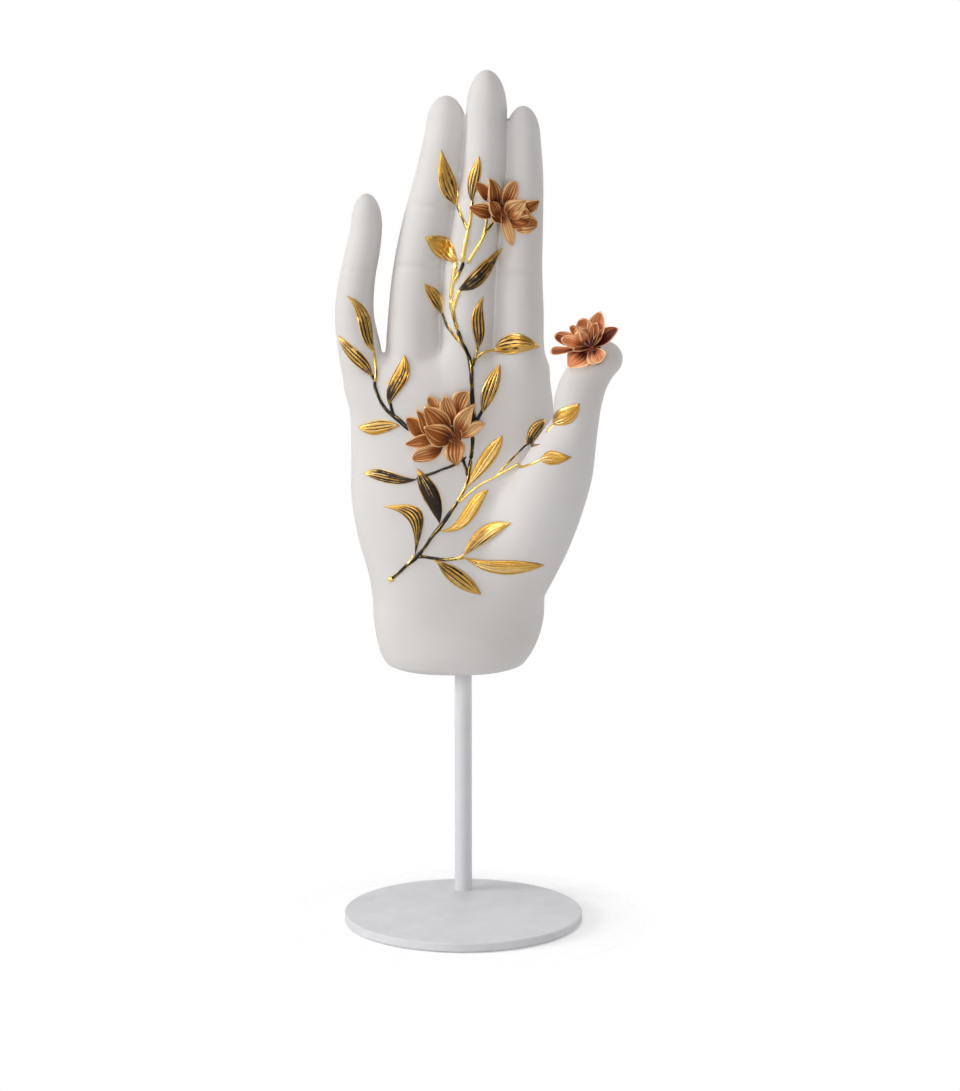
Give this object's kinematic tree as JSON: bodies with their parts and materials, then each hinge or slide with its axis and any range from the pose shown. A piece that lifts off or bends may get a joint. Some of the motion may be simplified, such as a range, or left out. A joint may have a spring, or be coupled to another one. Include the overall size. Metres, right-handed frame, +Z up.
{
  "type": "ceramic hand sculpture on a stand",
  "caption": "Raised ceramic hand, palm forward, with leafy sprigs and blossoms in relief, turning and lifting on a thin rod above a round plate.",
  "frame": {"origin": "centre of the underside of the round base", "axes": "+Z up, the palm faces -Y, the thumb is on the +X side"},
  "size_m": [0.1319, 0.11, 0.3931],
  "materials": {
    "bisque_porcelain": "matte unglazed white",
    "gold_leaf_lustre": "fired gold lustre over dark veins",
    "dark_gold_stem": "dark glaze with worn gold lustre",
    "copper_petal_lustre": "satin copper brown lustre with light veins",
    "amber_petal_lustre": "satin amber lustre, darker in the cups",
    "powder_coated_steel": "fine matte white powder coat",
    "powder_coated_rod": "matte white powder coat",
    "zinc_plated_screw": "zinc plated",
    "nylon_sleeve": "natural nylon",
    "brass_tube": "drawn tube",
    "casting_resin": "poured and matte",
    "grey_felt": "pressed felt"
  },
  "bodies": {
    "stand": {"base_felt": "grey_felt", "base_plate": "powder_coated_steel", "base_screw": "zinc_plated_screw", "stand_rod": "powder_coated_rod"},
    "pivot": {"pivot_sleeve": "nylon_sleeve"},
    "hand": {"finger_flower_inner_petals": "copper_petal_lustre", "finger_flower_middle_petals": "copper_petal_lustre", "finger_flower_outer_petals": "copper_petal_lustre", "hand_shell": "bisque_porcelain", "leaf_crescent": "gold_leaf_lustre", "leaf_dark_heart": "gold_leaf_lustre", "leaf_heel_long": "gold_leaf_lustre", "leaf_heel_lower": "gold_leaf_lustre", "leaf_heel_upper": "gold_leaf_lustre", "leaf_index_root": "gold_leaf_lustre", "leaf_left_low": "gold_leaf_lustre", "leaf_little_long": "gold_leaf_lustre", "leaf_little_low": "gold_leaf_lustre", "leaf_little_root": "gold_leaf_lustre", "leaf_lower_sickle": "gold_leaf_lustre", "leaf_middle_large": "gold_leaf_lustre", "leaf_middle_root": "gold_leaf_lustre", "leaf_middle_top": "gold_leaf_lustre", "leaf_pale_blade": "gold_leaf_lustre", "leaf_palm_left": "gold_leaf_lustre", "leaf_palm_right": "gold_leaf_lustre", "leaf_ring_flag": "gold_leaf_lustre", "leaf_ring_side": "gold_leaf_lustre", "leaf_ring_top": "gold_leaf_lustre", "leaf_thumb_lower": "gold_leaf_lustre", "leaf_thumb_upper": "gold_leaf_lustre", "leaf_web_bud": "gold_leaf_lustre", "left_spray": "dark_gold_stem", "left_twig": "dark_gold_stem", "low_branch": "dark_gold_stem", "lower_stem": "dark_gold_stem", "palm_flower_cup": "copper_petal_lustre", "palm_flower_inner_petals": "copper_petal_lustre", "palm_flower_middle_petals": "copper_petal_lustre", "palm_flower_outer_petals": "copper_petal_lustre", "right_twig": "dark_gold_stem", "side_twig": "dark_gold_stem", "socket_cap": "brass_tube", "socket_tube": "brass_tube", "thumb_branch": "dark_gold_stem", "thumb_flower_bud": "amber_petal_lustre", "thumb_flower_calyx": "amber_petal_lustre", "thumb_flower_inner_petals": "amber_petal_lustre", "thumb_flower_outer_petals": "amber_petal_lustre", "thumb_twig": "dark_gold_stem", "upper_stem": "dark_gold_stem", "wrist_plug": "casting_resin"}
  },
  "joints": [
    {"name": "hand_turn", "type": "hinge", "parent": "stand", "child": "pivot", "pos_m": [0, 0.0365, 0.15], "axis": [0, 0, 1], "continuous": true},
    {"name": "hand_lift", "type": "slide", "parent": "pivot", "child": "hand", "axis": [0, 0, 1], "range_m": [0, 0.06]}
  ]
}
